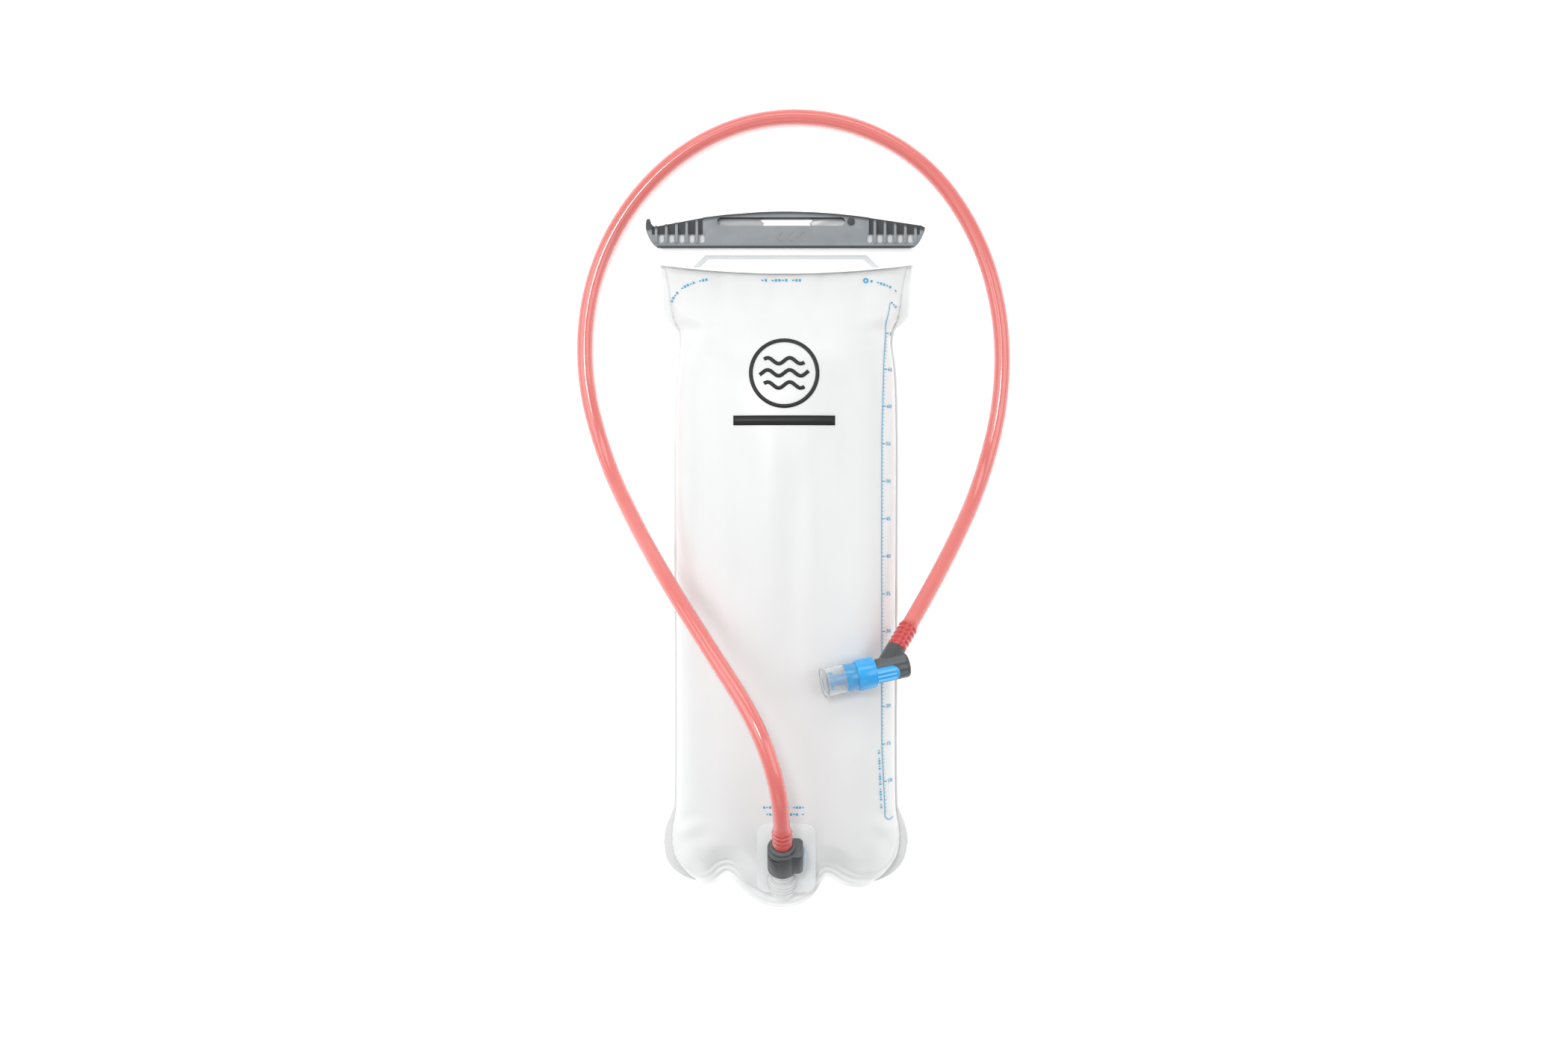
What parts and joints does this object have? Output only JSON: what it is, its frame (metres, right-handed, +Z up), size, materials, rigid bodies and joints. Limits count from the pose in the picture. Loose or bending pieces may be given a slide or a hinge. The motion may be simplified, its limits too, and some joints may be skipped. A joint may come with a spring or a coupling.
{
  "type": "hydration bladder",
  "caption": "Slide-top drink reservoir of soft film with an angled outlet port, quick-disconnect hose coupling, drink tube and twist-lock bite valve, laid flat.",
  "frame": {"origin": "middle of the filled bladder's footprint, on the surface that its back lies on", "axes": "+Z up out of the front film, +Y towards the slide-seal mouth, +X to the right seen from the front"},
  "size_m": [0.2623, 0.4726, 0.1286],
  "materials": {
    "clear_film": "soft translucent polyurethane film",
    "grey_strip": "soft grey strip",
    "white_rail": "moulded",
    "grey_nylon": "fine satin moulding",
    "dark_nylon": "satin",
    "clear_moulding": "clear moulded polyurethane",
    "black_rubber": "moulded rubber",
    "white_acetal": "moulded acetal",
    "spring_steel": "drawn wire",
    "charcoal_nylon": "satin moulding",
    "blue_grey_button": "satin moulding",
    "blue_nylon": "glossy moulding",
    "blue_core": "translucent glossy moulding",
    "clear_silicone": "clear silicone rubber",
    "red_tube": "translucent extruded polyurethane"
  },
  "bodies": {
    "bladder": {"front_panel": "clear_film", "back_panel": "clear_film", "bottom_gusset": "clear_film", "fold_flap": "clear_film", "flap_stiffener": "grey_strip", "mouth_rail_back": "white_rail", "mouth_rail_front": "white_rail", "port_patch": "clear_film", "port_body": "clear_moulding", "port_o_ring": "black_rubber", "poppet_spring": "spring_steel"},
    "slider": {"slider_bar": "grey_nylon", "tether_pin": "dark_nylon"},
    "shutoff": {"port_poppet": "white_acetal"},
    "hose": {"coupling_body": "charcoal_nylon", "coupling_seal": "black_rubber", "coupling_collar": "charcoal_nylon", "coupling_barb": "charcoal_nylon", "button_spring": "spring_steel", "drink_tube": "red_tube", "valve_elbow": "charcoal_nylon", "elbow_o_ring": "black_rubber"},
    "button": {"release_button": "blue_grey_button", "latch_plate": "white_acetal"},
    "bite_head": {"valve_collar": "blue_nylon", "valve_core": "blue_core", "bite_sheath": "clear_silicone"}
  },
  "joints": [
    {"name": "slider_slide", "type": "slide", "parent": "bladder", "child": "slider", "axis": [-1, 0, 0], "range_m": [0, 0.17]},
    {"name": "hose_unplug", "type": "slide", "parent": "bladder", "child": "hose", "axis": [0, 0.7071, 0.7071], "range_m": [0, 0.018]},
    {"name": "shutoff_close", "type": "slide", "parent": "bladder", "child": "shutoff", "axis": [0, 0.7071, 0.7071], "range_m": [0, 0.0015], "deforming": ["poppet_spring"]},
    {"name": "button_press", "type": "slide", "parent": "hose", "child": "button", "axis": [-1, 0, 0], "range_m": [0, 0.001], "stiffness_N_per_m": 400, "deforming": ["button_spring"]},
    {"name": "valve_twist", "type": "hinge", "parent": "hose", "child": "bite_head", "pos_m": [0.0696, -0.0615, 0.0839], "axis": [0.9644, 0.1956, -0.1779], "range_deg": [0, 90]}
  ],
  "couplings": [
    {"joint": "shutoff_close", "follows": "hose_unplug", "ratio": 0.083333}
  ]
}
